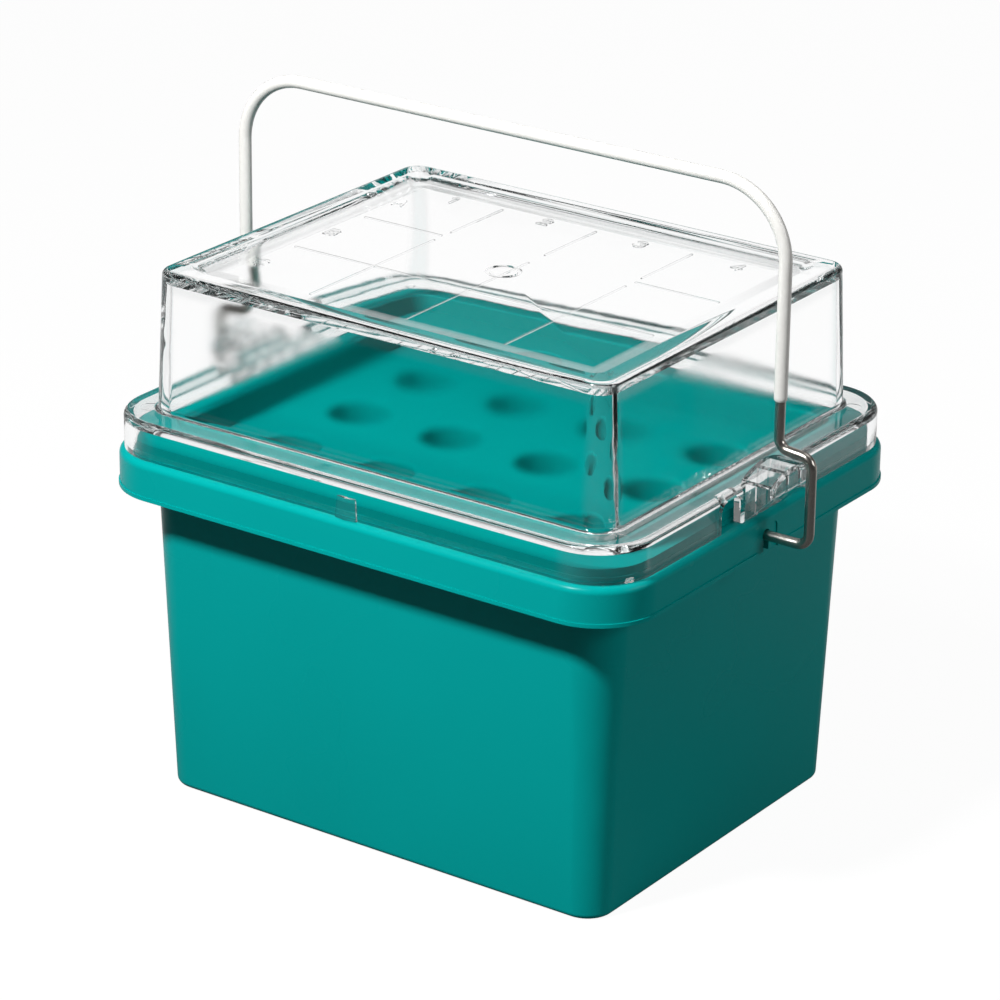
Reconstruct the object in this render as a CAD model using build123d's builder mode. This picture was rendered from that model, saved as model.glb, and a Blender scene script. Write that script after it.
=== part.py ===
from build123d import *
from math import atan2, degrees, hypot, sqrt
import os

os.makedirs("parts", exist_ok=True)

# All lengths are millimetres. The long side runs along X, the short side along Y, and the
# cooler stands on Z = 0. The origin is under the middle of its footprint.

# Outer tub. Half sizes are measured from the middle of the cooler.
foot_half_x = 62.0
foot_half_y = 49.8
foot_corner_radius = 6.8
foot_edge_radius = 1.5
tub_flare = 3.05
tub_wall = 3.0
tub_floor = 4.0
sole_recess_depth = 1.5
sole_border = 8.0

# Rim band round the top of the tub. Its shoulder is lower than the seat that the tray lies on.
rim_underside = 77.5
rim_height = 10.5
rim_half_x = 73.5
rim_half_y = 61.2
rim_corner_radius = 15.9
rim_lip_height = 0.9
rim_lip_step = 0.3
rim_shoulder_drop = 1.2
rim_shoulder_radius = 1.8
seat_clearance = 0.3
rim_band_wall = 2.4
rim_ledge_thickness = 3.0
throat_clearance = 0.4

# Handle pivots in the short sides of the rim.
pivot_rise = 3.8
pivot_clearance = 0.3
pivot_recess_half_width = 4.2
pivot_recess_depth = 0.6
pivot_recess_rise = 2.6
pivot_recess_corner_radius = 1.5
snap_slot_squeeze = 0.2
pivot_boss_half_width = 5.0
pivot_boss_inset = 1.0

# Well tray.
tray_sink = 3.0
tray_wall = 2.0
tray_clearance = 1.3
upstand_height = 7.0
upstand_edge_radius = 0.7
upstand_corner_gain = 0.5
tray_flange_inset = 4.3
tray_flange_thickness = 2.0
well_pitch = 27.0
wells_along = 4
wells_across = 3
well_diameter = 14.6
well_depth = 40.0
well_wall = 1.5
well_mouth_radius = 0.9
well_bottom_radius = 3.0

# Gel charge and its plugs.
gel_headspace = 6.0
plug_spacing = 60.0
plug_hole_diameter = 10.0
plug_clearance = 0.1
plug_head_diameter = 14.0
plug_head_thickness = 1.2

# Clear lid.
skirt_inset = 1.5
skirt_wall = 2.3
skirt_clearance = 0.15
flange_rise = 7.9
flange_thickness = 2.5
flange_edge_radius = 1.6
dome_inset = 9.5
dome_height = 33.9
dome_corner_radius = 6.5
dome_draw_in = 1.5
dome_wall = 2.5
dome_edge_radius = 1.4
dome_foot_radius = 1.2
panel_border = 9.1
panel_corner_radius = 2.0
panel_drop = 1.2
panel_slope_run = 3.0
panel_thickness = 2.2

# Mouldings on the lid.
line_width = 0.5
mark_height = 0.25
mark_root = 0.1
line_end_gap = 4.8
plain_gap_low = 10.0
plain_gap_high = 16.5
plain_gap_half_x = 27.3
letter_gap = 5.6
number_gap = 6.1
mark_size = 3.7
mark_stroke = 0.5
gate_radius = 4.3
gate_depth = 0.4
gate_ring_width = 1.0
arrow_half_width = 2.9
arrow_side_reach = 0.5
arrow_reach = 1.0
arrow_root = 2.0
arrow_drop = 3.2
arrow_taper = 4.0
arrow_bevel = 0.6
pin_mark_radius = 2.3
pin_mark_depth = 0.15
pin_mark_inset_x = 6.7
pin_mark_inset_y = 10.9

# Latch lugs on the lid.
lug_half_width = 9.0
lug_root = 0.6
lug_overhang = 6.5
lug_rise = 3.6
lug_front_height = 2.2
lug_edge_radius = 1.0
lug_wall = 1.6
lug_rib = 1.2
lug_rib_offset = 2.6
notch_width = 8.6
notch_drop = 1.7
notch_corner_radius = 2.5

# Wire handle.
wire_diameter = 2.4
hook_depth = 6.9
hook_end_gap = 0.6
jog_gap = 2.8
jog_out_rise = 2.7
jog_in_rise = 3.5
hook_bend_radius = 3.0
jog_bend_radius = 2.8
bar_bend_radius = 17.0
bar_clear_height = 33.1
leg_clearance = 0.275
sleeve_clearance = 0.04
sleeve_wall = 0.285
sleeve_end_rise = 18.1

# A cut runs past the face that it opens, an added form runs into what carries it, and an edge is
# picked within a small distance of its known height.
cut_overrun = 1.0
root_overlap = 0.5
pick_distance = 0.01

# Heights that follow from the sizes above.
rim_top = rim_underside + rim_height
rim_shoulder = rim_top - rim_shoulder_drop
rim_middle = (rim_underside + rim_shoulder) / 2
pivot_height = rim_underside + pivot_rise
tray_floor = rim_top - tray_sink
gel_level = tray_floor - tray_wall - gel_headspace
flange_top = rim_top + flange_rise
dome_top = flange_top + dome_height
lug_top = flange_top + lug_rise
bar_z = dome_top + bar_clear_height

# Widths that follow from the sizes above. The tray is as wide as the tub's mouth lets in.
tray_spread = tub_flare * (tray_floor - tray_wall) / rim_underside - tub_wall - tray_clearance
upstand_half_x = foot_half_x + tray_spread
upstand_half_y = foot_half_y + tray_spread
upstand_corner_radius = foot_corner_radius + upstand_corner_gain
skirt_half_x = rim_half_x - skirt_inset
skirt_half_y = rim_half_y - skirt_inset
skirt_corner_radius = rim_corner_radius - skirt_inset
dome_foot_half_x = rim_half_x - dome_inset
dome_foot_half_y = rim_half_y - dome_inset
panel_half_x = dome_foot_half_x - panel_border
panel_half_y = dome_foot_half_y - panel_border
line_reach_x = panel_half_x - line_end_gap
line_reach_y = panel_half_y - line_end_gap
letter_column_x = letter_gap - panel_half_x
number_row_y = panel_half_y - number_gap
lug_inner_x = skirt_half_x - lug_root
lug_outer_x = rim_half_x + lug_overhang
lug_cam_radius = lug_top - pivot_height

# The handle goes round the lug at an even gap, and its legs clear the rim.
pivot_bore = wire_diameter + 2 * pivot_clearance
snap_slot_width = wire_diameter - snap_slot_squeeze
sleeve_bore = wire_diameter + 2 * sleeve_clearance
sleeve_diameter = sleeve_bore + 2 * sleeve_wall
sleeve_end_z = flange_top + sleeve_end_rise
hook_end_x = rim_half_x - hook_depth
leg_x = rim_half_x + leg_clearance + sleeve_diameter / 2
jog_out_x = lug_outer_x + jog_gap + wire_diameter / 2
jog_out_z = lug_top + jog_out_rise
jog_in_z = lug_top + jog_in_rise

tub_draft = degrees(atan2(tub_flare, rim_underside))
dome_draft = degrees(atan2(dome_draw_in, dome_height))
panel_slope = degrees(atan2(panel_slope_run, panel_drop))
cavity_bottom_spread = tub_flare * tub_floor / rim_underside
plug_spots = [(-plug_spacing / 2, 0), (plug_spacing / 2, 0)]
well_spots = [
    (well_pitch * (column - (wells_along - 1) / 2), well_pitch * (row - (wells_across - 1) / 2))
    for column in range(wells_along)
    for row in range(wells_across)
]


# The marks are drawn as strokes in a cell that is narrower than its height of 1.
mark_cell_width = 0.7
strokes = {
    "A": [[(0, 0), (0.35, 1), (0.7, 0)], [(0.12, 0.34), (0.58, 0.34)]],
    "B": [
        [(0, 0), (0, 1), (0.45, 1), (0.64, 0.86), (0.64, 0.66), (0.45, 0.53), (0, 0.53)],
        [(0.45, 0.53), (0.7, 0.38), (0.7, 0.15), (0.5, 0), (0, 0)],
    ],
    "C": [[(0.7, 0.8), (0.5, 1), (0.22, 1), (0, 0.78), (0, 0.22), (0.22, 0), (0.5, 0), (0.7, 0.2)]],
    "1": [[(0.14, 0.78), (0.4, 1), (0.4, 0)]],
    "2": [[(0.02, 0.78), (0.2, 1), (0.5, 1), (0.68, 0.8), (0.62, 0.55), (0, 0), (0.7, 0)]],
    "3": [
        [(0.02, 0.82), (0.2, 1), (0.48, 1), (0.66, 0.84), (0.62, 0.62), (0.4, 0.53)],
        [(0.4, 0.53), (0.7, 0.38), (0.68, 0.15), (0.48, 0), (0.2, 0), (0, 0.2)],
    ],
    "4": [[(0.52, 0), (0.52, 1), (0, 0.3), (0.7, 0.3)]],
}


def rounded(half_x, half_y, radius):
    return RectangleRounded(2 * half_x, 2 * half_y, radius)


def near(value, target):
    return abs(value - target) < pick_distance


def lug_roof(y):
    return pivot_height + sqrt((lug_cam_radius - lug_wall) ** 2 - y ** 2)


# The outer shell is one moulding. The tub flares upwards and ends in a rim band that turns down,
# with a ledge on top that carries the lid.
with BuildPart() as outer_shell:
    with BuildSketch(Plane.XY):
        rounded(foot_half_x, foot_half_y, foot_corner_radius)
    extrude(amount=rim_shoulder, taper=-tub_draft)
    fillet(outer_shell.faces().sort_by(Axis.Z)[0].edges(), foot_edge_radius)

    band_half_x = rim_half_x - rim_lip_step
    band_half_y = rim_half_y - rim_lip_step
    band_radius = rim_corner_radius - rim_lip_step
    with BuildSketch(Plane.XY.offset(rim_underside)):
        rounded(band_half_x, band_half_y, band_radius)
    extrude(amount=rim_shoulder - rim_underside)
    fillet(outer_shell.faces().sort_by(Axis.Z)[-1].edges(), rim_shoulder_radius)

    # The seat stands up inside the lid's skirt and carries the tray.
    seat_inset = skirt_inset + skirt_wall + seat_clearance
    with BuildSketch(Plane.XY.offset(rim_shoulder - root_overlap)):
        rounded(rim_half_x - seat_inset, rim_half_y - seat_inset, rim_corner_radius - seat_inset)
    extrude(amount=rim_shoulder_drop + root_overlap)

    # The band's lower edge ends in a thin lip.
    with BuildSketch(Plane.XY.offset(rim_underside)):
        rounded(rim_half_x, rim_half_y, rim_corner_radius)
    extrude(amount=rim_lip_height)

    # The band is hollow from below, except for a boss behind each pivot.
    throat_half_x = foot_half_x + tub_flare + throat_clearance
    throat_half_y = foot_half_y + tub_flare + throat_clearance
    throat_radius = foot_corner_radius + tub_flare + throat_clearance
    with BuildSketch(Plane.XY.offset(rim_underside)):
        rounded(band_half_x - rim_band_wall, band_half_y - rim_band_wall, band_radius - rim_band_wall)
        RectangleRounded(2 * throat_half_x, 2 * throat_half_y, throat_radius, mode=Mode.SUBTRACT)
    extrude(amount=rim_top - rim_ledge_thickness - rim_underside, mode=Mode.SUBTRACT)
    boss_length = rim_half_x - rim_band_wall - throat_half_x + 2 * root_overlap
    for side in (-1, 1):
        with Locations((side * (throat_half_x + boss_length / 2 - root_overlap), 0, rim_middle)):
            Box(boss_length, 2 * pivot_boss_half_width, 2 * (rim_middle - rim_underside - pivot_boss_inset))

    # A shallow recess in the band frames each pivot. The wire snaps up into its bore through a slot
    # that is a little narrower than the wire.
    bore_depth = hook_depth + hook_end_gap
    for side in (-1, 1):
        with BuildSketch(Plane.YZ.offset(side * (rim_half_x - pivot_recess_depth))):
            with Locations((0, pivot_height + pivot_recess_rise)):
                RectangleRounded(
                    2 * pivot_recess_half_width,
                    2 * rim_height,
                    pivot_recess_corner_radius,
                    align=(Align.CENTER, Align.MAX),
                )
        extrude(amount=side * (pivot_recess_depth + cut_overrun), mode=Mode.SUBTRACT)
        with Locations(Location((side * rim_half_x, 0, pivot_height), (0, 90, 0))):
            Cylinder(pivot_bore / 2, 2 * bore_depth, mode=Mode.SUBTRACT)
        with Locations((side * rim_half_x, 0, pivot_height)):
            Box(
                2 * bore_depth,
                snap_slot_width,
                pivot_rise + cut_overrun,
                align=(Align.CENTER, Align.CENTER, Align.MAX),
                mode=Mode.SUBTRACT,
            )

    # The cavity follows the outside at an even wall.
    with BuildSketch(Plane.XY.offset(tub_floor)):
        rounded(
            foot_half_x + cavity_bottom_spread - tub_wall,
            foot_half_y + cavity_bottom_spread - tub_wall,
            foot_corner_radius - tub_wall,
        )
    extrude(amount=rim_top - tub_floor + cut_overrun, taper=-tub_draft, mode=Mode.SUBTRACT)

    # The sole stands on a border and is stepped up inside it. Two holes take the filling plugs.
    with BuildSketch(Plane.XY):
        rounded(foot_half_x - sole_border, foot_half_y - sole_border, foot_corner_radius)
    extrude(amount=sole_recess_depth, mode=Mode.SUBTRACT)
    with BuildSketch(Plane.XY):
        with Locations(*plug_spots):
            Circle(plug_hole_diameter / 2)
    extrude(amount=tub_floor + cut_overrun, mode=Mode.SUBTRACT)
outer_shell.part.label = "outer_shell"
export_step(outer_shell.part, "parts/outer_shell.step")


# The well tray drops into the tub. Its flange lies on the ledge inside the lid's skirt, its wall
# stands up inside the lid, and the twelve blind wells hang from the sunk floor.
well_floor = tray_floor - well_depth
with BuildPart() as well_tray:
    with BuildSketch(Plane.XY.offset(rim_top)):
        rounded(
            rim_half_x - tray_flange_inset,
            rim_half_y - tray_flange_inset,
            rim_corner_radius - tray_flange_inset,
        )
    extrude(amount=tray_flange_thickness)
    with BuildSketch(Plane.XY.offset(tray_floor - tray_wall)):
        rounded(upstand_half_x, upstand_half_y, upstand_corner_radius)
    extrude(amount=upstand_height + tray_wall)
    with BuildSketch(Plane.XY.offset(well_floor - well_wall)):
        with Locations(*well_spots):
            Circle(well_diameter / 2 + well_wall)
    extrude(amount=well_depth)
    with BuildSketch(Plane.XY.offset(tray_floor)):
        rounded(upstand_half_x - tray_wall, upstand_half_y - tray_wall, upstand_corner_radius - tray_wall)
    extrude(amount=upstand_height, mode=Mode.SUBTRACT)
    fillet(well_tray.faces().sort_by(Axis.Z)[-1].edges(), upstand_edge_radius)
    with BuildSketch(Plane.XY.offset(well_floor)):
        with Locations(*well_spots):
            Circle(well_diameter / 2)
    extrude(amount=well_depth + cut_overrun, mode=Mode.SUBTRACT)

    # The mouths are eased and the wells end in rounded bottoms inside and out.
    for height, radius in (
        (tray_floor, well_mouth_radius),
        (well_floor, well_bottom_radius),
        (well_floor - well_wall, well_bottom_radius),
    ):
        circles = well_tray.edges().filter_by(GeomType.CIRCLE)
        fillet(circles.filter_by(lambda e: e.is_closed and near(e.center().Z, height)), radius)
well_tray.part.label = "well_tray"
export_step(well_tray.part, "parts/well_tray.step")


# The gel fills the tub round the wells up to a level that leaves room for it to swell as it freezes.
with BuildPart() as gel_charge:
    with BuildSketch(Plane.XY.offset(tub_floor)):
        rounded(
            foot_half_x + cavity_bottom_spread - tub_wall,
            foot_half_y + cavity_bottom_spread - tub_wall,
            foot_corner_radius - tub_wall,
        )
    extrude(amount=gel_level - tub_floor, taper=-tub_draft)
    with BuildSketch(Plane.XY.offset(well_floor - well_wall)):
        with Locations(*well_spots):
            Circle(well_diameter / 2 + well_wall)
    extrude(amount=well_depth, mode=Mode.SUBTRACT)
    tips = gel_charge.edges().filter_by(GeomType.CIRCLE)
    tips = tips.filter_by(lambda e: e.is_closed and near(e.center().Z, well_floor - well_wall))
    fillet(tips, well_bottom_radius)
gel_charge.part.label = "gel_charge"
export_step(gel_charge.part, "parts/gel_charge.step")


# Two plugs close the filling holes in the sole. They are one group of two solids.
with BuildPart() as fill_plugs:
    with BuildSketch(Plane.XY.offset(sole_recess_depth)):
        with Locations(*plug_spots):
            Circle(plug_hole_diameter / 2 - plug_clearance)
    extrude(amount=tub_floor - sole_recess_depth)
    with BuildSketch(Plane.XY.offset(sole_recess_depth)):
        with Locations(*plug_spots):
            Circle(plug_head_diameter / 2)
    extrude(amount=-plug_head_thickness)
    heads = fill_plugs.edges().filter_by(GeomType.CIRCLE).group_by(Axis.Z)[0]
    fillet(heads, plug_head_thickness / 2)
fill_plugs.part.label = "fill_plugs"
export_step(fill_plugs.part, "parts/fill_plugs.step")


# The clear lid is one moulding: a skirt and flange that cap the rim, a domed box over the tray and
# two latch lugs under the handle.
skirt_bottom = rim_shoulder + skirt_clearance
dome_reach_x = dome_foot_half_x + root_overlap
dome_reach_y = dome_foot_half_y + root_overlap
lug_low = sqrt(lug_cam_radius ** 2 - lug_half_width ** 2) + pivot_height
lug_front_bottom = lug_low - lug_front_height
with BuildPart() as lid_cover:
    with BuildSketch(Plane.XY.offset(skirt_bottom)):
        rounded(skirt_half_x, skirt_half_y, skirt_corner_radius)
    extrude(amount=flange_top - skirt_bottom)
    fillet(lid_cover.faces().sort_by(Axis.Z)[-1].edges(), flange_edge_radius)
    with BuildSketch(Plane.XY.offset(flange_top - root_overlap)):
        rounded(dome_foot_half_x, dome_foot_half_y, dome_corner_radius)
    extrude(amount=dome_height + root_overlap, taper=dome_draft)
    fillet(lid_cover.faces().sort_by(Axis.Z)[-1].edges(), dome_edge_radius)
    foot_edges = lid_cover.edges().filter_by(lambda e: near(e.center().Z, flange_top))
    foot_edges = foot_edges.filter_by(
        lambda e: abs(e.center().X) < dome_reach_x and abs(e.center().Y) < dome_reach_y
    )
    fillet(foot_edges, dome_foot_radius)

    # The middle of the top is stepped down, so that a second cooler can stand on it.
    with BuildSketch(Plane.XY.offset(dome_top - panel_drop)):
        rounded(panel_half_x, panel_half_y, panel_corner_radius)
    extrude(amount=panel_drop + pick_distance, taper=-panel_slope, mode=Mode.SUBTRACT)

    # A latch lug stands out from the middle of each short side. Its top is an arc about the pivot.
    for side in (-1, 1):
        with BuildSketch(Plane.YZ.offset(side * lug_inner_x)):
            with BuildLine():
                Line((-lug_half_width, skirt_bottom), (lug_half_width, skirt_bottom))
                Line((lug_half_width, skirt_bottom), (lug_half_width, lug_low))
                ThreePointArc(
                    (lug_half_width, lug_low), (0, lug_top), (-lug_half_width, lug_low)
                )
                Line((-lug_half_width, lug_low), (-lug_half_width, skirt_bottom))
            make_face()
        extrude(amount=side * (lug_outer_x - lug_inner_x))

        # Its underside slopes up to the front lip.
        with BuildSketch(Plane.XZ.offset(-lug_half_width - cut_overrun)):
            with BuildLine():
                Polyline(
                    (side * skirt_half_x, skirt_bottom - cut_overrun),
                    (side * skirt_half_x, skirt_bottom),
                    (side * lug_outer_x, lug_front_bottom),
                    (side * (lug_outer_x + cut_overrun), lug_front_bottom),
                    (side * (lug_outer_x + cut_overrun), skirt_bottom - cut_overrun),
                    close=True,
                )
            make_face()
        extrude(amount=2 * (lug_half_width + cut_overrun), mode=Mode.SUBTRACT)
        lug_face = lid_cover.faces().sort_by(Axis.X)[0 if side < 0 else -1]
        fillet(lug_face.edges(), lug_edge_radius)

        # Ribs divide it from below.
        pocket_bays = [
            (-lug_half_width + lug_wall, -lug_rib_offset - lug_rib / 2),
            (-lug_rib_offset + lug_rib / 2, lug_rib_offset - lug_rib / 2),
            (lug_rib_offset + lug_rib / 2, lug_half_width - lug_wall),
        ]
        for low, high in pocket_bays:
            with BuildSketch(Plane.YZ.offset(side * skirt_half_x)):
                with BuildLine():
                    bay_bottom = skirt_bottom - cut_overrun
                    Line((low, bay_bottom), (high, bay_bottom))
                    Line((high, bay_bottom), (high, lug_roof(high)))
                    ThreePointArc(
                        (high, lug_roof(high)),
                        ((low + high) / 2, lug_roof((low + high) / 2)),
                        (low, lug_roof(low)),
                    )
                    Line((low, lug_roof(low)), (low, bay_bottom))
                make_face()
            extrude(amount=side * (lug_outer_x - lug_wall - skirt_half_x), mode=Mode.SUBTRACT)

    # The inside of the dome and of the skirt.
    with BuildSketch(Plane.XY.offset(flange_top - flange_thickness)):
        rounded(dome_foot_half_x - dome_wall, dome_foot_half_y - dome_wall, dome_corner_radius - dome_wall)
    ceiling = dome_top - panel_drop - panel_thickness
    extrude(amount=ceiling - flange_top + flange_thickness, taper=dome_draft, mode=Mode.SUBTRACT)
    with BuildSketch(Plane.XY.offset(skirt_bottom)):
        rounded(skirt_half_x - skirt_wall, skirt_half_y - skirt_wall, skirt_corner_radius - skirt_wall)
    extrude(amount=flange_top - flange_thickness - skirt_bottom, mode=Mode.SUBTRACT)

    # A notch in the skirt on each side of a lug leaves the lug free to flex.
    for side in (-1, 1):
        for end in (-1, 1):
            with BuildSketch(Plane.YZ.offset(side * (skirt_half_x - skirt_wall - root_overlap))):
                with Locations((end * (lug_half_width + notch_width / 2), flange_top - notch_drop)):
                    RectangleRounded(
                        notch_width,
                        2 * (flange_top - notch_drop - skirt_bottom + cut_overrun),
                        notch_corner_radius,
                        align=(Align.CENTER, Align.MAX),
                    )
            extrude(amount=side * (skirt_wall + 2 * root_overlap), mode=Mode.SUBTRACT)

    # A small pointer stands on the skirt in the middle of the front. It narrows upwards, and its top
    # is bevelled.
    arrow_height = flange_top - arrow_drop - arrow_bevel - skirt_bottom
    with BuildSketch(Plane.XY.offset(skirt_bottom)):
        with BuildLine():
            Polyline(
                (-arrow_half_width, arrow_root - skirt_half_y),
                (-arrow_half_width, -skirt_half_y - arrow_side_reach),
                (0, -skirt_half_y - arrow_reach),
                (arrow_half_width, -skirt_half_y - arrow_side_reach),
                (arrow_half_width, arrow_root - skirt_half_y),
                close=True,
            )
        make_face()
    extrude(amount=arrow_height, taper=arrow_taper)
    arrow_top = lid_cover.faces().filter_by(
        lambda f: near(f.center().Z, skirt_bottom + arrow_height) and near(f.center().X, 0)
    )
    extrude(arrow_top.sort_by(Axis.Y)[0], amount=arrow_bevel, taper=45)

    # The pins that push the lid out of its mould leave a round mark under each corner of the flange.
    pin_mark_x = skirt_half_x - pin_mark_inset_x
    pin_mark_y = skirt_half_y - pin_mark_inset_y
    with BuildSketch(Plane.XY.offset(flange_top - flange_thickness)):
        with GridLocations(2 * pin_mark_x, 2 * pin_mark_y, 2, 2):
            Circle(pin_mark_radius)
    extrude(amount=pin_mark_depth, mode=Mode.SUBTRACT)

    # The grid lines, letters and numbers are raised on the inside of the top.
    line_xs = [well_pitch * (n - wells_along / 2) for n in range(1, wells_along)]
    line_ys = [well_pitch * (n - wells_across / 2) for n in range(1, wells_across)]
    with BuildSketch(Plane.XY.offset(ceiling - mark_height)):
        for x in line_xs:
            with Locations((x, (plain_gap_high + line_reach_y) / 2)):
                Rectangle(line_width, line_reach_y - plain_gap_high)
            with Locations((x, (plain_gap_low - line_reach_y) / 2)):
                Rectangle(line_width, line_reach_y + plain_gap_low)
        with Locations((0, line_ys[0])):
            Rectangle(2 * line_reach_x, line_width)
        for side in (-1, 1):
            with Locations((side * (plain_gap_half_x + line_reach_x) / 2, line_ys[1])):
                Rectangle(line_reach_x - plain_gap_half_x, line_width)
    extrude(amount=mark_height + mark_root)
    row_marks = [("C", -1), ("B", 0), ("A", 1)]
    column_marks = [("1", -1.5), ("2", -0.5), ("3", 0.5), ("4", 1.5)]
    placed_marks = [(mark, letter_column_x, well_pitch * step) for mark, step in row_marks]
    placed_marks += [(mark, well_pitch * step, number_row_y) for mark, step in column_marks]
    with BuildSketch(Plane.XY.offset(ceiling - mark_height)):
        for mark, x, y in placed_marks:
            for stroke in strokes[mark]:
                points = [
                    (x + (u - mark_cell_width / 2) * mark_size, y + (v - 0.5) * mark_size) for u, v in stroke
                ]
                for (x0, y0), (x1, y1) in zip(points, points[1:]):
                    run = hypot(x1 - x0, y1 - y0)
                    with Locations(((x0 + x1) / 2, (y0 + y1) / 2)):
                        Rectangle(run + mark_stroke, mark_stroke, rotation=degrees(atan2(y1 - y0, x1 - x0)))
    extrude(amount=mark_height + mark_root)

    # The mark of the moulding gate is a ring in the middle of the top.
    with BuildSketch(Plane.XY.offset(dome_top - panel_drop)):
        Circle(gate_radius)
        Circle(gate_radius - gate_ring_width, mode=Mode.SUBTRACT)
    extrude(amount=-gate_depth, mode=Mode.SUBTRACT)
lid_cover.part.label = "lid_cover"
export_step(lid_cover.part, "parts/lid_cover.step")


# The handle is one bent wire. Each leg steps outwards over a latch lug and hooks into the rim.
with BuildPart() as handle_wire:
    with BuildLine(Plane.XZ) as wire_path:
        half_points = [
            (hook_end_x, pivot_height),
            (jog_out_x, pivot_height),
            (jog_out_x, jog_out_z),
            (leg_x, jog_in_z),
            (leg_x, bar_z),
        ]
        left_points = [(-x, z) for x, z in half_points]
        Polyline(*half_points, *reversed(left_points))
        corners = wire_path.vertices()
        fillet(corners.filter_by(lambda v: near(v.Z, bar_z)), bar_bend_radius)
        corners = wire_path.vertices()
        jogs = corners.filter_by(lambda v: near(v.Z, jog_out_z) or near(v.Z, jog_in_z))
        fillet(jogs, jog_bend_radius)
        corners = wire_path.vertices()
        hooks = corners.filter_by(lambda v: near(v.Z, pivot_height) and near(abs(v.X), jog_out_x))
        fillet(hooks, hook_bend_radius)
    with BuildSketch(Plane(origin=(hook_end_x, 0, pivot_height), z_dir=(1, 0, 0))):
        Circle(wire_diameter / 2)
    sweep(path=wire_path.line)
handle_wire.part.label = "handle_wire"
export_step(handle_wire.part, "parts/handle_wire.step")


# A sleeve covers the crossbar and the upper part of both legs.
with BuildPart() as grip_sleeve:
    with BuildLine(Plane.XZ) as sleeve_path:
        Polyline((leg_x, sleeve_end_z), (leg_x, bar_z), (-leg_x, bar_z), (-leg_x, sleeve_end_z))
        bends = sleeve_path.vertices().filter_by(lambda v: near(v.Z, bar_z))
        fillet(bends, bar_bend_radius)
    with BuildSketch(Plane(origin=(leg_x, 0, sleeve_end_z), z_dir=(0, 0, 1))):
        Circle(sleeve_diameter / 2)
        Circle(sleeve_bore / 2, mode=Mode.SUBTRACT)
    sweep(path=sleeve_path.line)
grip_sleeve.part.label = "grip_sleeve"
export_step(grip_sleeve.part, "parts/grip_sleeve.step")
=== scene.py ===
# %% [markdown]
# # A benchtop cooler with a clear lid
# The cooler is a teal moulded tub with a tray of twelve wells, a clear domed lid and a wire handle.
# Its shapes come from a CAD model that is loaded first and stays where it is. This script gives each
# piece its finish, builds the handle again as a smooth sweep, and sets up a small photo studio.

# %% Load the model as a fixed frame
import math

import bmesh
import bpy
from mathutils import Matrix, Vector


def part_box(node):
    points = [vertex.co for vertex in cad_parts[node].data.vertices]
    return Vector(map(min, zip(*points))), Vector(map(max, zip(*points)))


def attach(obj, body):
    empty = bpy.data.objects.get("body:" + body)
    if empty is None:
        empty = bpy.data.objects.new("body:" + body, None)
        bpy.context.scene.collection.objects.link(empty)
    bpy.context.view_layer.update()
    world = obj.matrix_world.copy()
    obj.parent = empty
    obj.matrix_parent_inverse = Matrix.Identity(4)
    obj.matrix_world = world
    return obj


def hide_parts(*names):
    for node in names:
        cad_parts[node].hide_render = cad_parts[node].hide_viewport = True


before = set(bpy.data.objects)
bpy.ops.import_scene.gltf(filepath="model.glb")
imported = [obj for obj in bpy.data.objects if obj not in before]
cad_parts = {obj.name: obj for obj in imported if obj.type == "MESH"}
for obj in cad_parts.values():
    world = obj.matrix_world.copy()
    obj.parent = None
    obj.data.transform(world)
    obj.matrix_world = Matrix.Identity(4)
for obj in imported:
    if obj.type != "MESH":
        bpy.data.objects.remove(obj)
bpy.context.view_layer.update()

# %% [markdown]
# ## Sums written as sums
# A material is a tree of nodes, and a formula with five operations is five Math nodes. Wiring them
# one by one hides the formula. Here a small class wraps a socket, so that `1 - mask * 0.5` adds the
# nodes by itself. Every other node comes from one method, which sets the node's own settings first
# and its sockets afterwards, because some sockets only appear once a setting is made.

# %% A socket that can be added and multiplied
class Signal:
    """An output socket of a node tree, or the tree alone when socket is None."""

    def __init__(self, tree, socket=None):
        self.tree = tree
        self.socket = socket

    def node(self, kind, settings=None, sockets=None, output=0):
        made = self.tree.nodes.new(kind)
        for name, value in (settings or {}).items():
            if name == "stops":
                fill_ramp(made.color_ramp, value)
            else:
                setattr(made, name, value)
        for name, value in (sockets or {}).items():
            if isinstance(value, Signal):
                self.tree.links.new(value.socket, made.inputs[name])
            else:
                made.inputs[name].default_value = value
        return Signal(self.tree, made.outputs[output] if made.outputs else None)

    def math(self, operation, *values):
        return self.node("ShaderNodeMath", {"operation": operation}, dict(enumerate(values)))

    def __add__(self, other):
        return self.math("ADD", self, other)

    def __sub__(self, other):
        return self.math("SUBTRACT", self, other)

    def __rsub__(self, other):
        return self.math("SUBTRACT", other, self)

    def __mul__(self, other):
        return self.math("MULTIPLY", self, other)

    __radd__ = __add__
    __rmul__ = __mul__


def fill_ramp(ramp, stops):
    """Gives a colour ramp its stops, each a position and a grey level."""
    while len(ramp.elements) > len(stops):
        ramp.elements.remove(ramp.elements[-1])
    while len(ramp.elements) < len(stops):
        ramp.elements.new(1.0)
    for element, (position, level) in zip(ramp.elements, stops):
        element.position = position
        element.color = (level, level, level, 1.0)


# %% Colours, a new material, and two nodes that most finishes use
def colour(red, green, blue):
    """A colour as a picture shows it, 0 to 255, turned into the linear light that nodes work in."""
    levels = [channel / 255 for channel in (red, green, blue)]
    return tuple(v / 12.92 if v <= 0.04045 else ((v + 0.055) / 1.055) ** 2.4 for v in levels) + (1.0,)


def empty_material(name):
    material = bpy.data.materials.new(name)
    material.use_nodes = True
    material.node_tree.nodes.clear()
    return material, Signal(material.node_tree)


def noise(tree, place, scale, detail):
    """A cloudy pattern from 0 to 1, with about as many clouds in a metre as its scale says."""
    sockets = {"Vector": place, "Scale": scale, "Detail": detail}
    return tree.node("ShaderNodeTexNoise", {}, sockets, "Fac")


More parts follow.
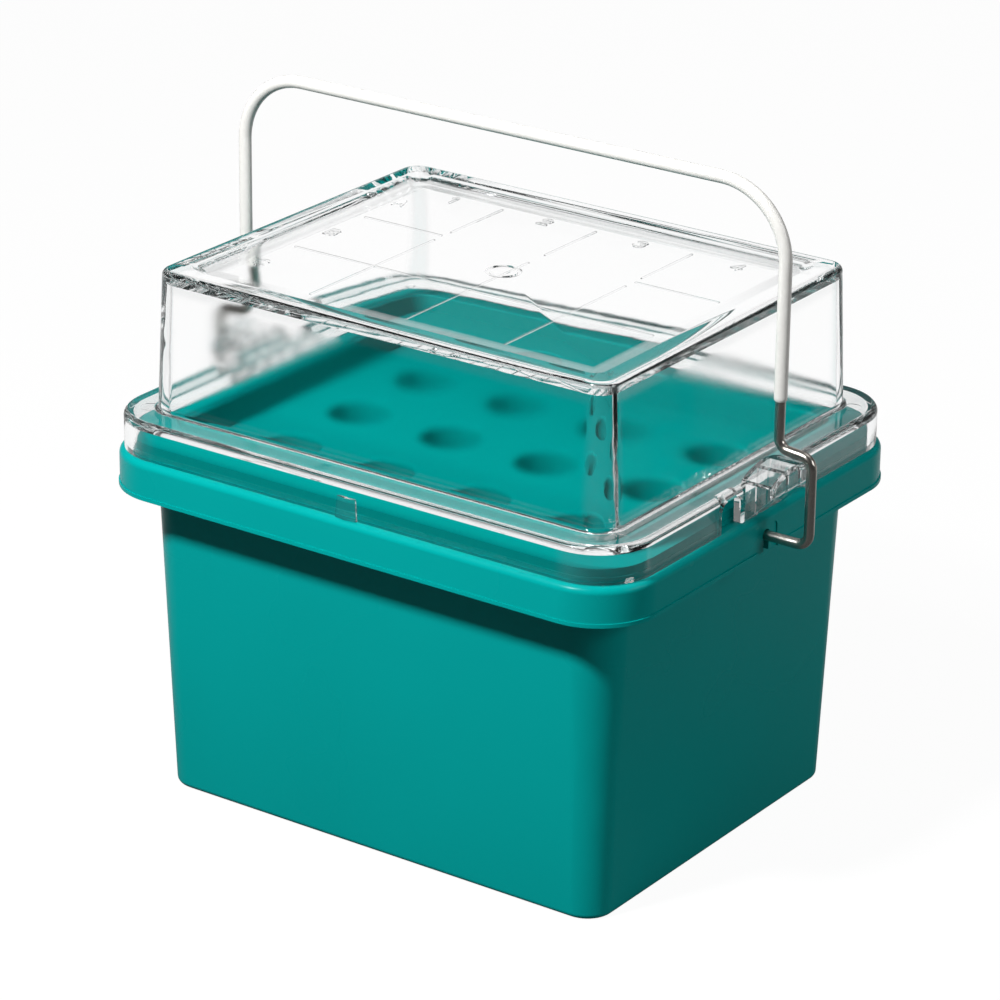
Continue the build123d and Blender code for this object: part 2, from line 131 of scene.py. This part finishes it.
def blend(tree, share, first, second):
    """A colour on the way from the first to the second."""
    sockets = {"Factor": share, "A": first, "B": second}
    return tree.node("ShaderNodeMix", {"data_type": "RGBA"}, sockets, "Result")


white = (1.0, 1.0, 1.0, 1.0)
print("a grey of 128 in 255 holds", round(colour(128, 128, 128)[0], 3), "of the light of white")

# %% [markdown]
# ## Teal moulded plastic
# The tub and the tray are injection moulded. The colour is nearly even, with a faint cloudiness where
# the pigment has flowed. The surface is smooth enough for soft highlights, and a very fine grain from
# the polished mould keeps them from looking like glass. A picture of plastic could give this, but it
# would have to be unwrapped round every corner. Noise on object coordinates needs no unwrapping.

# %% Teal plastic
def teal_plastic(name, gloss):
    material, tree = empty_material(name)
    place = tree.node("ShaderNodeTexCoord", output="Object")
    cloud = noise(tree, place, 18.0, 3.0)
    grain = noise(tree, place, 2600.0, 2.0)
    tint = blend(tree, cloud, colour(0, 150, 147), colour(0, 158, 155))
    bump = tree.node("ShaderNodeBump", {}, {"Height": grain, "Strength": 0.1, "Distance": 0.00005})
    plastic = tree.node(
        "ShaderNodeBsdfPrincipled",
        {},
        {
            "Base Color": tint,
            "Roughness": 0.24 + cloud * 0.08,
            "IOR": 1.49,
            "Specular IOR Level": gloss,
            "Normal": bump,
        },
    )
    tree.node("ShaderNodeOutputMaterial", {}, {"Surface": plastic})
    return material


teal = teal_plastic("teal_plastic", 0.08)
teal_satin = teal_plastic("teal_satin_plastic", 0.0)
print("teal plastic nodes:", len(teal.node_tree.nodes))

# %% [markdown]
# ## Clear moulded plastic
# The lid is water clear with a wall of about two millimetres. It is a real solid with an inside and an
# outside surface, and the renderer bends the light at both. On rounded edges this gives the bright and
# dark lines of the real one, and a painted shade, which greys the colour where the lid is seen edge on,
# makes the dark lines deeper. On a flat wall the renderer also gives a grey veil, the mirror image of
# the studio, which a photographer keeps away with dark cards. So the flat parts get a finish that bends
# the light and mirrors almost none, and a mask on object coordinates says where they are. A soft step
# has two limits, in metres, between which it rises from 0 to 1.

# %% A soft step, and distances from the faces of the dome
def smooth_step(tree, value, limits):
    low, high = limits
    return tree.node(
        "ShaderNodeMapRange",
        {"interpolation_type": "SMOOTHSTEP"},
        {"Value": value, "From Min": low, "From Max": high, "To Min": 0.0, "To Max": 1.0},
    )


dome_half_x = 0.0625
dome_half_y = 0.0502
dome_top = 0.1298
dome_foot = 0.0959
edge_gap = (0.004, 0.006)
wall_reach = (0.0045, 0.0055)
wall_start = (dome_foot + 0.0015, dome_foot + 0.003)


def flat_walls(tree, from_end, from_side, from_top, height):
    """1 on the four walls of the dome, away from its corners, its top edge and its foot."""
    near = tree.math("MINIMUM", from_end, from_side)
    far = tree.math("MAXIMUM", from_end, from_side)
    off_edge = smooth_step(tree, tree.math("MINIMUM", far, from_top), edge_gap)
    on_wall = 1.0 - smooth_step(tree, near, wall_reach)
    above_foot = smooth_step(tree, height, wall_start)
    return off_edge * on_wall * above_foot


print("dome, mm:", [round(2000 * half, 1) for half in (dome_half_x, dome_half_y)])

# %% [markdown]
# The panel in the dome's top is flat on both faces. The grid lines, the letters and the gate ring are
# sunk into it, so their floors lie off those two heights, and leaving them out keeps them crisp.

# %% The top of the dome
panel_outer_depth = 0.0012
panel_inner_depth = 0.0034
panel_tolerance = 0.00012
panel_edge = (0.0106, 0.0112)
border_start = (0.0014, 0.002)
border_end = (0.0066, 0.0073)
border_depth = (0.003, 0.0036)


def flat_top(tree, from_end, from_side, from_top):
    """1 on the panel and on the border round it, but not on the slope between them."""
    near = tree.math("MINIMUM", from_end, from_side)
    outer = tree.math("ABSOLUTE", from_top - panel_outer_depth)
    inner = tree.math("ABSOLUTE", from_top - panel_inner_depth)
    on_face = tree.math("LESS_THAN", tree.math("MINIMUM", outer, inner), panel_tolerance)
    panel = smooth_step(tree, near, panel_edge) * on_face
    border = smooth_step(tree, near, border_start) - smooth_step(tree, near, border_end)
    at_top = 1.0 - smooth_step(tree, from_top, border_depth)
    return tree.math("MAXIMUM", panel, border * at_top)


print("the panel's wall, mm:", round(1000 * (panel_inner_depth - panel_outer_depth), 1))

# %% The ledge round the dome's foot and the skirt under it
foot_half_x = 0.064
foot_half_y = 0.0517
skirt_half_x = 0.072
skirt_half_y = 0.0597
ledge_share = 0.3
skirt_gap = (0.0017, 0.0024)
foot_gap = (0.001, 0.0018)
ledge_top = (dome_foot, dome_foot + 0.0004)
skirt_top = (dome_foot - 0.0022, dome_foot - 0.0016)
skirt_face = (-0.0002, -0.0001)
long_side_end = (0.055, 0.06)


def flat_below(tree, out_x, out_y, height):
    """Part of 1 on the ledge, which keeps most of its gloss, and 1 on the skirt's long sides."""
    inside = tree.math("MINIMUM", skirt_half_x - out_x, skirt_half_y - out_y)
    round_foot = tree.math("MAXIMUM", out_x - foot_half_x, out_y - foot_half_y)
    ledge = (
        smooth_step(tree, inside, skirt_gap)
        * smooth_step(tree, round_foot, foot_gap)
        * (1.0 - smooth_step(tree, height, ledge_top))
    )
    under_ledge = 1.0 - smooth_step(tree, height, skirt_top)
    behind_pointer = smooth_step(tree, inside, skirt_face)
    off_end = 1.0 - smooth_step(tree, out_x, long_side_end)
    return tree.math("MAXIMUM", ledge * ledge_share, under_ledge * behind_pointer * off_end)


def flat_parts(tree, place):
    """Where the lid is flat: first the dome's walls, then every other flat part."""
    x, y, height = [tree.node("ShaderNodeSeparateXYZ", {}, {"Vector": place}, axis) for axis in "XYZ"]
    out_x = tree.math("ABSOLUTE", x)
    out_y = tree.math("ABSOLUTE", y)
    from_end = dome_half_x - out_x
    from_side = dome_half_y - out_y
    from_top = dome_top - height
    walls = flat_walls(tree, from_end, from_side, from_top, height)
    top_faces = flat_top(tree, from_end, from_side, from_top)
    return walls, tree.math("MAXIMUM", top_faces, flat_below(tree, out_x, out_y, height))


print("the ledge's width, mm:", round(1000 * (skirt_half_x - foot_half_x), 1))

# %% [markdown]
# Light from the lamps would be lost in a solid that bends it, so a transparent shader takes its place
# for the rays that carry light to and from the matt surfaces inside. It grows darker at grazing angles,
# so edges and end walls still cast a shadow. The dome's walls are a little rougher than its top, which
# blurs the wells behind them as in the picture.

# %% What the light meets: a glossy solid, or a window for the lamps
clear_ior = 1.585


def slant(tree, stops):
    """A grey that follows how edge on a surface is met: position 0 is face on, 1 is along it."""
    facing = tree.node("ShaderNodeLayerWeight", {}, {"Blend": 0.5}, "Facing")
    return tree.node("ShaderNodeValToRGB", {"stops": stops}, {"Fac": facing}, "Color")


def clear_body(tree, bump):
    """The glossy solid, with a painted shade that greys its colour where it is seen edge on."""
    # Painted shade: the colour turns a lilac grey where the surface is seen edge on.
    edge = slant(tree, [(0.6, 0.0), (0.9, 0.3), (1.0, 1.0)])
    sockets = {
        "Base Color": blend(tree, edge, (0.985, 0.99, 0.99, 1.0), (0.6, 0.59, 0.63, 1.0)),
        "Roughness": 0.02,
        "IOR": clear_ior,
        "Transmission Weight": 1.0,
        "Normal": bump,
    }
    return tree.node("ShaderNodeBsdfPrincipled", {}, sockets)


def clear_window(tree):
    """What the lamps' light meets: clear face on, grey at a slant."""
    dimming = slant(tree, [(0.25, 0.0), (0.5, 0.45), (1.0, 1.0)])
    shade = blend(tree, dimming, (0.88, 0.89, 0.89, 1.0), (0.25, 0.26, 0.28, 1.0))
    return tree.node("ShaderNodeBsdfTransparent", {}, {"Color": shade})


head_on = ((clear_ior - 1) / (clear_ior + 1)) ** 2
print("a clear face mirrors", round(100 * head_on, 1), "% of the light that meets it head on")

# %% Clear plastic
pane_share = 0.94
fully_mirrored = 0.8


def clear_plastic():
    material, tree = empty_material("clear_plastic")
    place = tree.node("ShaderNodeTexCoord", output="Object")
    flow = noise(tree, place, 60.0, 2.0)
    bump = tree.node("ShaderNodeBump", {}, {"Height": flow, "Strength": 0.1, "Distance": 0.0002})
    walls, others = flat_parts(tree, place)
    pane_roughness = 0.03 + walls * 0.1
    pane = tree.node(
        "ShaderNodeBsdfRefraction",
        {},
        {"Color": white, "Roughness": pane_roughness, "IOR": clear_ior, "Normal": bump},
    )
    # Light that runs along inside a wall has to be mirrored back, so there the pane gives way.
    mirrored = tree.node("ShaderNodeFresnel", {}, {"IOR": clear_ior})
    can_pass = tree.math("LESS_THAN", mirrored, fully_mirrored)
    pane_here = can_pass * tree.math("MAXIMUM", walls, others) * pane_share
    body = tree.node("ShaderNodeMixShader", {}, {0: pane_here, 1: clear_body(tree, bump), 2: pane})
    to_lamp = tree.node("ShaderNodeLightPath", output="Is Shadow Ray")
    from_matt = tree.node("ShaderNodeLightPath", output="Is Diffuse Ray")
    straight = tree.math("MAXIMUM", to_lamp, from_matt)
    mixed = tree.node("ShaderNodeMixShader", {}, {0: straight, 1: body, 2: clear_window(tree)})
    tree.node("ShaderNodeOutputMaterial", {}, {"Surface": mixed})
    return material


clear = clear_plastic()
print("clear plastic nodes:", len(clear.node_tree.nodes))

# %% [markdown]
# ## Drawn steel wire
# The handle is drawn steel wire, bent cold. Drawing leaves fine scratches along the wire, so its
# roughness follows a noise that is stretched along the wire. Object coordinates can't follow a bend,
# so the sweep below writes a map with the length along the wire in it, and the steel reads that map.

# %% Steel
def drawn_steel():
    material, tree = empty_material("drawn_steel")
    place = tree.node("ShaderNodeUVMap", {"uv_map": "along"})
    stretched = tree.node("ShaderNodeMapping", {}, {"Vector": place, "Scale": (40.0, 900.0, 1.0)})
    scratch = noise(tree, stretched, 1.0, 3.0)
    tint = blend(tree, scratch, colour(146, 141, 134), colour(200, 196, 189))
    bump = tree.node("ShaderNodeBump", {}, {"Height": scratch, "Strength": 0.2, "Distance": 0.00005})
    steel = tree.node(
        "ShaderNodeBsdfPrincipled",
        {},
        {"Base Color": tint, "Metallic": 1.0, "Roughness": 0.16 + scratch * 0.22, "Normal": bump},
    )
    tree.node("ShaderNodeOutputMaterial", {}, {"Surface": steel})
    return material


steel = drawn_steel()
print("steel nodes:", len(steel.node_tree.nodes))

# %% [markdown]
# ## White sleeve and cooling gel
# The sleeve on the handle is a soft white plastic tube. A fine speck in its colour and bump takes the
# hardness out of it. The gel is shut in between tub and tray, and shows only when they are apart.

# %% White sleeve
def white_sleeve():
    material, tree = empty_material("soft_white_plastic")
    place = tree.node("ShaderNodeTexCoord", output="Object")
    speck = noise(tree, place, 700.0, 2.0)
    tint = blend(tree, speck, colour(222, 221, 217), colour(236, 235, 231))
    bump = tree.node("ShaderNodeBump", {}, {"Height": speck, "Strength": 0.15, "Distance": 0.0001})
    sleeve = tree.node(
        "ShaderNodeBsdfPrincipled",
        {},
        {"Base Color": tint, "Roughness": 0.3 + speck * 0.1, "Normal": bump},
    )
    tree.node("ShaderNodeOutputMaterial", {}, {"Surface": sleeve})
    return material


sleeve_white = white_sleeve()
print("sleeve nodes:", len(sleeve_white.node_tree.nodes))


# %% Cooling gel
def cooling_gel():
    material, tree = empty_material("pale_gel")
    place = tree.node("ShaderNodeTexCoord", output="Object")
    cloud = noise(tree, place, 40.0, 4.0)
    tint = blend(tree, cloud, colour(120, 178, 190), colour(178, 214, 220))
    sockets = {"Base Color": tint, "Roughness": 0.2 + cloud * 0.2}
    gel = tree.node("ShaderNodeBsdfPrincipled", {}, sockets)
    tree.node("ShaderNodeOutputMaterial", {}, {"Surface": gel})
    return material


gel = cooling_gel()
print("finishes:", [material.name for material in (teal, teal_satin, clear, steel, sleeve_white, gel)])

# %% [markdown]
# ## Smooth copies of the moulded pieces
# A CAD model arrives as loose triangles, one patch for each face, so every small radius would show
# its facets. A copy with its points welded can be shaded smoothly. Weighted normals keep the large
# flat faces flat, and edges sharper than a limit stay crisp.

# %% Weld and smooth
weld_distance = 0.000002
crisp_angle = math.radians(32)


def smooth_copy(node, name, body, material):
    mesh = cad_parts[node].data.copy()
    mesh.name = name
    work = bmesh.new()
    work.from_mesh(mesh)
    bmesh.ops.remove_doubles(work, verts=work.verts, dist=weld_distance)
    work.to_mesh(mesh)
    work.free()
    if "custom_normal" in mesh.attributes:
        mesh.attributes.remove(mesh.attributes["custom_normal"])
    mesh.polygons.foreach_set("use_smooth", [True] * len(mesh.polygons))
    mesh.set_sharp_from_angle(angle=crisp_angle)
    mesh.materials.clear()
    mesh.materials.append(material)
    piece = bpy.data.objects.new(name, mesh)
    bpy.context.scene.collection.objects.link(piece)
    weights = piece.modifiers.new("weighted_normals", "WEIGHTED_NORMAL")
    weights.keep_sharp = True
    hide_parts(node)
    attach(piece, body)
    print(f"{name}: {len(mesh.vertices)} points, {len(mesh.polygons)} triangles")
    return piece


tub = smooth_copy("outer_shell", "tub_with_rim", "base", teal)
tray = smooth_copy("well_tray", "tray_with_wells", "base", teal_satin)
lid = smooth_copy("lid_cover", "clear_lid", "lid", clear)
plugs = smooth_copy("fill_plugs", "filling_plugs", "base", teal)
charge = smooth_copy("gel_charge", "gel_filling", "base", gel)

# %% [markdown]
# ## The handle as a sweep
# Wire and sleeve are the same idea twice: a round section carried along a bent path. The path is a
# row of corner points, each with the radius of its bend. Geometry Nodes rounds the corners, sweeps
# the section, and writes a map that runs along the wire. The sizes are inputs of the modifier, so
# the same tree makes both pieces.

# %% Numbers kept on the points, and the inputs of the sweep
sweep_inputs = {
    "Path": "Geometry",
    "Outer Diameter": "Float",
    "End Rounding": "Float",
    "Step": "Float",
    "Sides": "Int",
    "Finish": "Material",
}
end_taper = 0.3


def keep_number(tree, shape, name, value):
    return tree.node(
        "GeometryNodeStoreNamedAttribute",
        {"data_type": "FLOAT", "domain": "POINT"},
        {"Geometry": shape, "Name": name, "Value": value},
    )


def kept_number(tree, name):
    return tree.node("GeometryNodeInputNamedAttribute", {"data_type": "FLOAT"}, {"Name": name})


print("sweep inputs:", list(sweep_inputs))


# %% A tree that sweeps a round section along a bent path
def sweep_tree():
    group = bpy.data.node_groups.new("bent_round_section", "GeometryNodeTree")
    for name, kind in sweep_inputs.items():
        group.interface.new_socket(name, in_out="INPUT", socket_type="NodeSocket" + kind)
    group.interface.new_socket("Piece", in_out="OUTPUT", socket_type="NodeSocketGeometry")
    tree = Signal(group)
    path, diameter, rounding, step, sides, finish = [
        tree.node("NodeGroupInput", output=name) for name in sweep_inputs
    ]

    radius = kept_number(tree, "bend_radius")
    line = tree.node("GeometryNodeMeshToCurve", {}, {"Mesh": path})
    bent = tree.node(
        "GeometryNodeFilletCurve", {"mode": "POLY"}, {"Curve": line, "Count": 24, "Radius": radius}
    )
    even = tree.node("GeometryNodeResampleCurve", {"mode": "LENGTH"}, {"Curve": bent, "Length": step})
    run = tree.node("GeometryNodeSplineParameter", output="Length")
    marked = keep_number(tree, even, "run", run)

    # The ends close in along a quarter of an ellipse.
    whole = tree.node("GeometryNodeSplineLength", output="Length")
    from_end = tree.math("MINIMUM", run, whole - run)
    inward = tree.math("MAXIMUM", 1.0 - tree.math("DIVIDE", from_end, rounding), 0.0)
    dip = 1.0 - tree.math("SQRT", 1.0 - inward * inward)
    scale = 1.0 - dip * end_taper

    circle = tree.node(
        "GeometryNodeCurvePrimitiveCircle",
        {"mode": "RADIUS"},
        {"Resolution": sides, "Radius": diameter * 0.5},
    )
    turn = tree.node("GeometryNodeSplineParameter", output="Factor")
    section = keep_number(tree, circle, "turn", turn)
    tube = tree.node(
        "GeometryNodeCurveToMesh",
        {},
        {"Curve": marked, "Profile Curve": section, "Scale": scale, "Fill Caps": True},
    )
    pair = tree.node(
        "ShaderNodeCombineXYZ", {}, {"X": kept_number(tree, "run"), "Y": kept_number(tree, "turn")}
    )
    mapped = tree.node(
        "GeometryNodeStoreNamedAttribute",
        {"data_type": "FLOAT2", "domain": "CORNER"},
        {"Geometry": tube, "Name": "along", "Value": pair},
    )
    smooth = tree.node("GeometryNodeSetShadeSmooth", {}, {"Geometry": mapped})
    real = tree.node("GeometryNodeRealizeInstances", {}, {"Geometry": smooth})
    painted = tree.node("GeometryNodeSetMaterial", {}, {"Geometry": real, "Material": finish})
    tree.node("NodeGroupOutput", {}, {"Piece": painted})
    return group


bent_round_section = sweep_tree()
print("sweep tree nodes:", len(bent_round_section.nodes))


# %% Turn a modifier's result into a plain mesh
def set_inputs(modifier, values):
    for item in modifier.node_group.interface.items_tree:
        if item.in_out == "INPUT" and item.name in values:
            modifier[item.identifier] = values[item.name]


def plain_mesh(holder, name):
    evaluated = holder.evaluated_get(bpy.context.evaluated_depsgraph_get())
    mesh = bpy.data.meshes.new_from_object(evaluated)
    mesh.name = name
    return mesh


def swept_piece(name, corners, sizes, body, node):
    """Sweeps a section along corners, each an x, a z and a bend radius in metres at y = 0."""
    path = bpy.data.meshes.new(name + "_path")
    links = [(n, n + 1) for n in range(len(corners) - 1)]
    path.from_pydata([(x, 0.0, z) for x, z, bend in corners], links, [])
    bends = path.attributes.new("bend_radius", "FLOAT", "POINT")
    bends.data.foreach_set("value", [bend for x, z, bend in corners])
    holder = bpy.data.objects.new(name + "_holder", path)
    bpy.context.scene.collection.objects.link(holder)
    modifier = holder.modifiers.new("sweep", "NODES")
    modifier.node_group = bent_round_section
    set_inputs(modifier, sizes)
    mesh = plain_mesh(holder, name)
    bpy.data.objects.remove(holder)
    piece = bpy.data.objects.new(name, mesh)
    bpy.context.scene.collection.objects.link(piece)
    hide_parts(node)
    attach(piece, body)
    print(f"{name}: {len(mesh.vertices)} points, {len(mesh.polygons)} faces")
    return piece


# %% [markdown]
# The corner points are read from the frame where a box gives them. The crossbar is the top of the
# wire's box, the pivots are its bottom, and the legs stand in the middle of the sleeve's ends.

# %% Wire and sleeve
wire_radius = 0.0012
sleeve_radius = 0.001525
hook_end_x = 0.0666
jog_low_z = 0.1022
jog_high_z = 0.103
hook_bend = 0.003
jog_bend = 0.0028
bar_bend = 0.017

wire_low, wire_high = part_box("handle_wire")
sleeve_low, sleeve_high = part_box("grip_sleeve")
pivot_z = wire_low.z + wire_radius
bar_z = wire_high.z - wire_radius
jog_x = wire_high.x - wire_radius
leg_x = sleeve_high.x - sleeve_radius

right_side = [
    (hook_end_x, pivot_z, 0.0),
    (jog_x, pivot_z, hook_bend),
    (jog_x, jog_low_z, jog_bend),
    (leg_x, jog_high_z, jog_bend),
    (leg_x, bar_z, bar_bend),
]
left_side = [(-x, z, bend) for x, z, bend in reversed(right_side)]
wire_sizes = {
    "Outer Diameter": 2 * wire_radius,
    "End Rounding": 0.0005,
    "Step": 0.0005,
    "Sides": 32,
    "Finish": steel,
}
wire = swept_piece(
    "wire_handle", right_side + left_side, wire_sizes, "handle", "handle_wire"
)

sleeve_right = [(leg_x, sleeve_low.z, 0.0), (leg_x, bar_z, bar_bend)]
sleeve_left = [(-x, z, bend) for x, z, bend in reversed(sleeve_right)]
sleeve_sizes = {
    "Outer Diameter": 2 * sleeve_radius,
    "End Rounding": 0.0006,
    "Step": 0.0005,
    "Sides": 32,
    "Finish": sleeve_white,
}
sleeve = swept_piece(
    "grip_cover", sleeve_right + sleeve_left, sleeve_sizes, "handle", "grip_sleeve"
)
pieces = (tub, tray, lid, plugs, charge, wire, sleeve)
print("pieces:", [piece.name for piece in pieces])

# %% [markdown]
# ## The studio
# The camera stands at the front right corner, a little above the cooler and far away, as a long
# lens sees it. Its place and its turns were solved from straight edges of the object in the picture.

# %% Camera
camera_turn = math.radians(35.05)
camera_tilt = math.radians(22.35)
camera_roll = math.radians(0.67)
camera_distance = 1.0135
aim = Vector((-0.0002, -0.0001, 0.07183))
image_width = 1000
focal_pixels = 4323.5

camera_data = bpy.data.cameras.new("photo_camera")
camera_data.sensor_width = 36.0
camera_data.lens = focal_pixels / image_width * camera_data.sensor_width
camera_data.clip_start = 0.05
camera = bpy.data.objects.new("photo_camera", camera_data)
bpy.context.scene.collection.objects.link(camera)
stance = Matrix.Rotation(camera_turn, 4, "Z") @ Matrix.Rotation(math.pi / 2 - camera_tilt, 4, "X")
backwards = stance @ Vector((0.0, 0.0, 1.0))
step_back = Matrix.Translation(aim + camera_distance * backwards)
camera.matrix_world = step_back @ stance @ Matrix.Rotation(camera_roll, 4, "Z")
bpy.context.scene.camera = camera
print("camera at, mm:", [round(1000 * v, 1) for v in camera.matrix_world.translation])

# %% [markdown]
# ## Lamps
# A small lamp high in front and a little to the left gives the main light, so the long side is bright,
# the short side falls into shade and the rim casts a sharp shadow down the tub. A broad lamp high
# behind fills the tray, and another at the right opens up the short side.

# %% Three soft lamps
def soft_lamp(name, place, target, width, height, watts):
    data = bpy.data.lights.new(name, "AREA")
    data.shape = "RECTANGLE"
    data.size = width
    data.size_y = height
    data.energy = watts
    lamp = bpy.data.objects.new(name, data)
    facing = (target - place).to_track_quat("-Z", "Y").to_matrix().to_4x4()
    lamp.matrix_world = Matrix.Translation(place) @ facing
    bpy.context.scene.collection.objects.link(lamp)
    return lamp


middle = Vector((0.0, 0.0, 0.07))
lamps = [
    soft_lamp("key_lamp", Vector((-0.076, -0.417, 0.555)), middle, 0.065, 0.065, 5.9),
    soft_lamp("top_lamp", Vector((0.3, 0.6, 1.5)), middle, 0.9, 0.9, 4.0),
    soft_lamp("side_lamp", Vector((1.3, 0.25, 0.7)), middle, 0.5, 0.5, 5.0),
]
for lamp in lamps:
    print(f"{lamp.name}: {(lamp.location - middle).length:.2f} m away, {lamp.data.energy:.1f} W")

# %% [markdown]
# ## White ground that doesn't light the object
# In the picture the ground is plain white, yet the tub's shaded side stays dark, so little light
# comes back from the ground. A real studio does this with a glowing table behind the object and a
# dark room in front. Here the ground and the room ask what kind of ray has met them. The camera sees
# white, and so does a look through the clear lid. A mirror sees white at the back of the studio and
# little in front, and light that has already bounced off the cooler finds a dim room.

# %% Which rays see the white ground
inner_front = 0.06
mirror_front = 0.12
ray_kinds = ("Is Camera Ray", "Is Glossy Ray", "Is Transmission Ray")
ray_depths = ("Diffuse Depth", "Glossy Depth")


def first_looks(tree, behind):
    """How white the studio looks to sight, clear or mirrored, and whether matt light has met it."""
    camera_ray, mirror_ray, clear_ray = [
        tree.node("ShaderNodeLightPath", output=kind) for kind in ray_kinds
    ]
    unbounced, unmirrored = [
        tree.math("LESS_THAN", tree.node("ShaderNodeLightPath", output=depth), 0.5)
        for depth in ray_depths
    ]
    inner = behind * (1.0 - inner_front) + inner_front
    clear_share = tree.math("MAXIMUM", unmirrored, inner)
    matt = 1.0 - tree.math("MAXIMUM", mirror_ray, clear_ray)
    mirror_share = behind * (1.0 - mirror_front) + mirror_front
    return camera_ray, clear_ray * clear_share * unbounced, mirror_ray * mirror_share * unbounced, matt


print("white in front, for clear looks and for mirrors:", inner_front, mirror_front)

# %% [markdown]
# Clear things are drawn by what their edges bend into view. Photographers stand black flags at both
# sides of the white ground, so that the edges come out dark on white. The same flags stand here.

# %% Front, back and flags
away = (-math.sin(camera_turn), math.cos(camera_turn), 0.0)
sideways = (math.cos(camera_turn), math.sin(camera_turn), 0.0)
flag_level = 0.1


def how_far(tree, place, direction):
    sockets = {0: place, 1: direction}
    return tree.node("ShaderNodeVectorMath", {"operation": "DOT_PRODUCT"}, sockets, "Value")


def towards_back(tree, place, limits):
    """0 in front of the object and 1 behind it, as the camera's own heading runs over the floor."""
    return smooth_step(tree, how_far(tree, place, away), limits)


def off_middle(tree, place):
    return tree.math("ABSOLUTE", how_far(tree, place, sideways))


def between_flags(tree, place, limits):
    """1 between the two dark flags beside the white ground, and flag_level on them."""
    on_flag = smooth_step(tree, off_middle(tree, place), limits)
    return 1.0 - on_flag * (1.0 - flag_level)


print("the camera looks along", [round(part, 2) for part in away])


# %% Floor
floor_mirror = 0.5
floor_bounce = 0.12
floor_glow = 0.96
floor_white = 0.95
floor_radius = 4.0
floor_back = (-0.05, 0.2)
floor_flags = (0.22, 0.4)


def floor_finish():
    """Glows white for sight, and keeps a little matt white in it that the shadow falls on."""
    material, tree = empty_material("white_floor")
    place = tree.node("ShaderNodeTexCoord", output="Object")
    direct, clear_look, mirror_look, matt = first_looks(tree, towards_back(tree, place, floor_back))
    flanked = clear_look * between_flags(tree, place, floor_flags)
    share = tree.math("MINIMUM", direct + flanked + mirror_look * floor_mirror, 1.0)
    paint = tree.node("ShaderNodeBsdfDiffuse", {}, {"Color": share * floor_white + matt * floor_bounce})
    glow = tree.node("ShaderNodeEmission", {}, {"Color": white, "Strength": 1.0})
    both = tree.node("ShaderNodeMixShader", {}, {0: share * floor_glow, 1: paint, 2: glow})
    tree.node("ShaderNodeOutputMaterial", {}, {"Surface": both})
    return material


floor_mesh = bpy.data.meshes.new("floor")
disc = bmesh.new()
bmesh.ops.create_circle(disc, cap_ends=True, segments=64, radius=floor_radius)
disc.to_mesh(floor_mesh)
disc.free()
floor_mesh.materials.append(floor_finish())
floor = bpy.data.objects.new("floor", floor_mesh)
bpy.context.scene.collection.objects.link(floor)
print("floor radius, m:", floor_radius)

# %% [markdown]
# The room above the floor is a dim box for matt light. A mirror on the cooler sees a narrow white card
# in it, straight behind and low, which puts the pale band on the front ledge of the lid. The room has
# no distances, so its limits are parts of a heading that is one long.

# %% World
room_light = 0.06
card_edge = 0.1
high_sky_share = 0.2
high_sky = (0.6, 0.9)
room_back = (-0.1, 0.4)
room_flags = (0.3, 0.5)
card_side = (0.035, 0.06)


def studio_world():
    world = bpy.data.worlds.new("studio")
    world.use_nodes = True
    world.node_tree.nodes.clear()
    tree = Signal(world.node_tree)
    heading = tree.node("ShaderNodeTexCoord", output="Generated")
    direct, clear_look, mirror_look, matt = first_looks(tree, towards_back(tree, heading, room_back))
    height = tree.node("ShaderNodeSeparateXYZ", {}, {"Vector": heading}, "Z")
    low_sky = 1.0 - smooth_step(tree, height, high_sky)
    open_sky = high_sky_share + low_sky * (1.0 - high_sky_share)
    clear_sky = open_sky * between_flags(tree, heading, room_flags)
    card = 1.0 - smooth_step(tree, off_middle(tree, heading), card_side) * (1.0 - card_edge)
    share = tree.math("MINIMUM", direct + clear_look * clear_sky + mirror_look * low_sky * card, 1.0)
    strength = share + matt * room_light
    light = tree.node("ShaderNodeBackground", {}, {"Color": white, "Strength": strength})
    tree.node("ShaderNodeOutputWorld", {}, {"Surface": light})
    return world


bpy.context.scene.world = studio_world()
print("world nodes:", len(bpy.context.scene.world.node_tree.nodes))

# %% [markdown]
# Light that enters the edge of a clear wall runs along inside it and bounces from side to side many
# times before it leaves. With the usual limit of twelve bounces those edges would come out black.

# %% Let light travel far inside the clear plastic
bounce_limit = 32
bpy.context.scene.cycles.max_bounces = bounce_limit
bpy.context.scene.cycles.glossy_bounces = bounce_limit
bpy.context.scene.cycles.transmission_bounces = bounce_limit
bpy.context.scene.view_settings.view_transform = "Standard"
print("most bounces of a ray:", bounce_limit)
